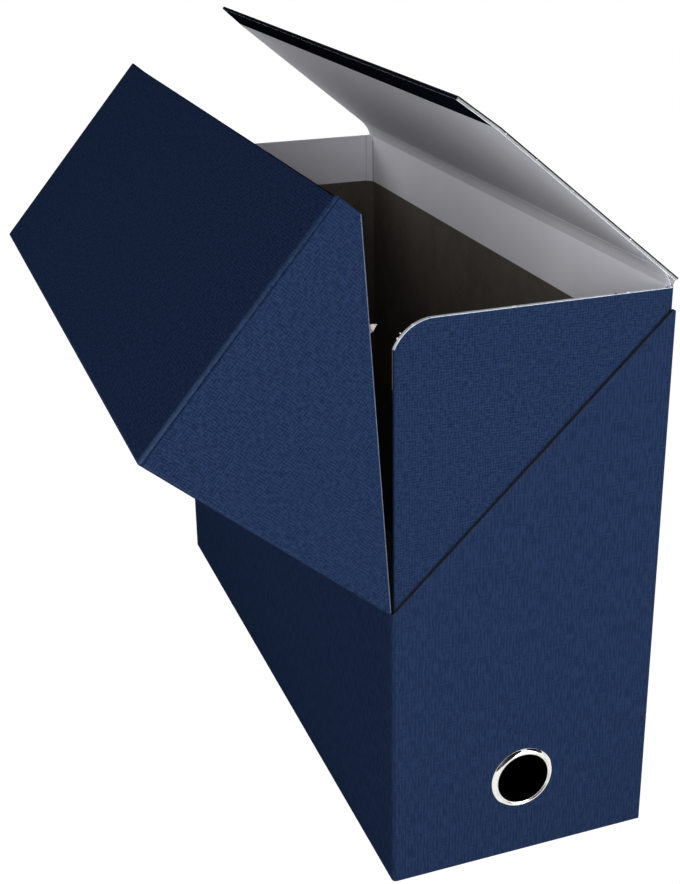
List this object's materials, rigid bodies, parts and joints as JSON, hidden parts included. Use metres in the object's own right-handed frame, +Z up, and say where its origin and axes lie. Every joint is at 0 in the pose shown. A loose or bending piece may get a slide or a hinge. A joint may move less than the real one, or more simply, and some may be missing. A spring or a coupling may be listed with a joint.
{
  "type": "transfer file box",
  "caption": "Covered board file box with a drop front hinged half way up one wall, a flat lid hinged on the other, and a finger ring in the spine.",
  "frame": {"origin": "middle of the underside of the case, on the table", "axes": "+X from the drop front's wall to the lid's wall, +Y from the spine with the finger ring to the tail, +Z up"},
  "size_m": [0.2181, 0.3415, 0.3288],
  "materials": {
    "navy_paper": "matt navy covering paper, embossed as linen",
    "raw_board": "raw dark board, pale where it is cut",
    "white_paper": "smooth white lining paper",
    "plated_ring": "bright nickel plate"
  },
  "bodies": {
    "case": {"left_wall_board": "raw_board", "left_wall_cover": "navy_paper", "right_wall_board": "raw_board", "right_wall_cover": "navy_paper", "right_wall_white_band": "white_paper", "bottom_board": "raw_board", "bottom_cover": "navy_paper", "spine_outer_board": "raw_board", "spine_outer_cover": "navy_paper", "spine_wing_board": "raw_board", "spine_wing_cover": "navy_paper", "spine_white_band": "white_paper", "tail_outer_board": "raw_board", "tail_outer_cover": "navy_paper", "tail_wing_board": "raw_board", "tail_wing_cover": "navy_paper", "tail_white_band": "white_paper", "lid_crease": "raw_board", "finger_ring": "plated_ring", "finger_ring_back": "plated_ring"},
    "drop_front": {"drop_front_board": "raw_board", "drop_front_cover": "navy_paper", "drop_top_board": "raw_board", "drop_top_cover": "navy_paper", "drop_spine_cheek_board": "raw_board", "drop_spine_cheek_cover": "navy_paper", "drop_tail_cheek_board": "raw_board", "drop_tail_cheek_cover": "navy_paper"},
    "lid": {"lid_board": "raw_board", "lid_cover": "navy_paper", "lid_liner": "white_paper", "lid_turn_in": "navy_paper"}
  },
  "joints": [
    {"name": "drop_front_hinge", "type": "hinge", "parent": "case", "child": "drop_front", "pos_m": [-0.06, 0, 0.1292], "axis": [0, -1, 0], "range_deg": [-49.8, 120.2]},
    {"name": "lid_hinge", "type": "hinge", "parent": "case", "child": "lid", "pos_m": [0.06165, 0, 0.2517], "axis": [0, 1, 0], "range_deg": [-39.4, 140.6]}
  ]
}
